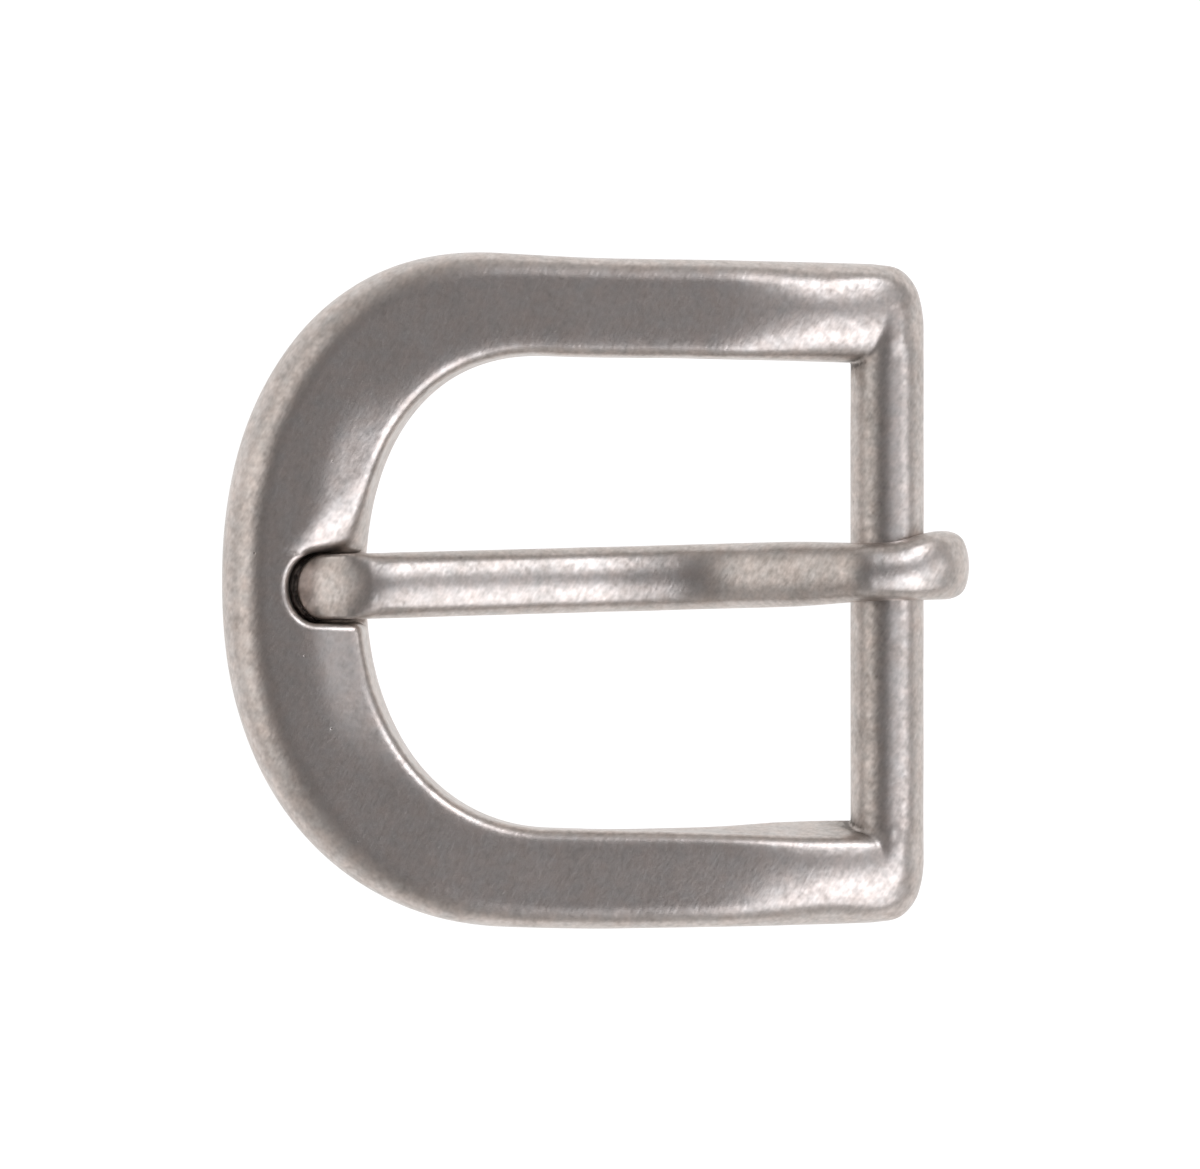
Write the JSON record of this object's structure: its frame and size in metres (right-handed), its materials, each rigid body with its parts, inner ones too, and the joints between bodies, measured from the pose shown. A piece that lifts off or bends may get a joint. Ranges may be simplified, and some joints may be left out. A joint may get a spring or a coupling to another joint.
{
  "type": "belt buckle",
  "caption": "D-shaped dress belt buckle: a cast frame with its own round strap bar, and a tongue that swings on the bar and rests in a notch in the front bar.",
  "frame": {"origin": "centre of the buckle's footprint, on the plane that its back lies on", "axes": "+X from the front bar to the strap bar, +Y along the strap bar, +Z from the back to the face"},
  "size_m": [0.0524, 0.0473, 0.0091],
  "materials": {
    "frame_metal": "satin, antiqued nickel plate",
    "tongue_metal": "satin, antiqued nickel plate"
  },
  "bodies": {
    "frame": {"frame": "frame_metal"},
    "tongue": {"tongue": "tongue_metal"}
  },
  "joints": [
    {"name": "tongue_swing", "type": "hinge", "parent": "frame", "child": "tongue", "pos_m": [0.02042, 0, 0.0046], "axis": [0, 1, 0], "range_deg": [0, 180]}
  ]
}
